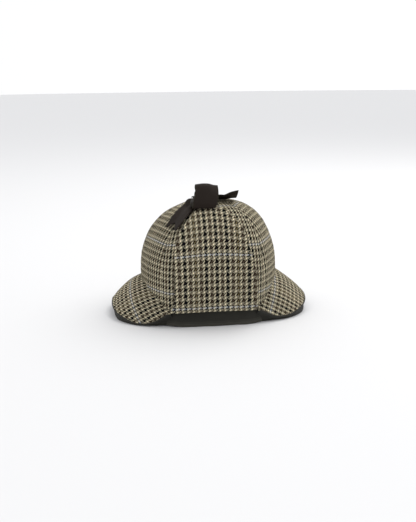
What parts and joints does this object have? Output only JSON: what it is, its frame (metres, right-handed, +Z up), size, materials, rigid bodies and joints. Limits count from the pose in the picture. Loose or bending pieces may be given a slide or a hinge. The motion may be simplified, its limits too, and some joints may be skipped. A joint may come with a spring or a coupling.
{
  "type": "deerstalker hat",
  "caption": "Tweed deerstalker hat with front and rear peaks, its ear flaps turned up and tied over the crown with a ribbon bow.",
  "frame": {"origin": "on the surface the hat rests on, below the middle of its length and width", "axes": "+X along the hat's length towards the rear peak, +Y towards the wearer's right, +Z up; the front peak is at -X"},
  "size_m": [0.2924, 0.18, 0.1942],
  "materials": {
    "tweed": "matt woven wool, brown and cream houndstooth with a faint check",
    "dark_lining": "matt dark olive cloth",
    "grosgrain": "ribbed dark brown ribbon, slightly glossy"
  },
  "bodies": {
    "root": {"crown_gore_1": "tweed", "crown_gore_2": "tweed", "crown_gore_3": "tweed", "crown_gore_4": "tweed", "crown_gore_5": "tweed", "crown_gore_6": "tweed", "crown_gore_7": "tweed", "crown_gore_8": "tweed", "front_peak": "tweed", "rear_peak": "tweed", "front_peak_facing": "dark_lining", "rear_peak_facing": "dark_lining", "lining_band": "dark_lining", "ear_flap_left": "tweed", "ear_flap_right": "tweed", "ribbon_strap_left": "grosgrain", "ribbon_strap_right": "grosgrain", "bow_knot": "grosgrain", "bow_loop_near": "grosgrain", "bow_loop_far": "grosgrain", "bow_tail_left": "grosgrain", "bow_tail_right": "grosgrain"}
  },
  "joints": []
}
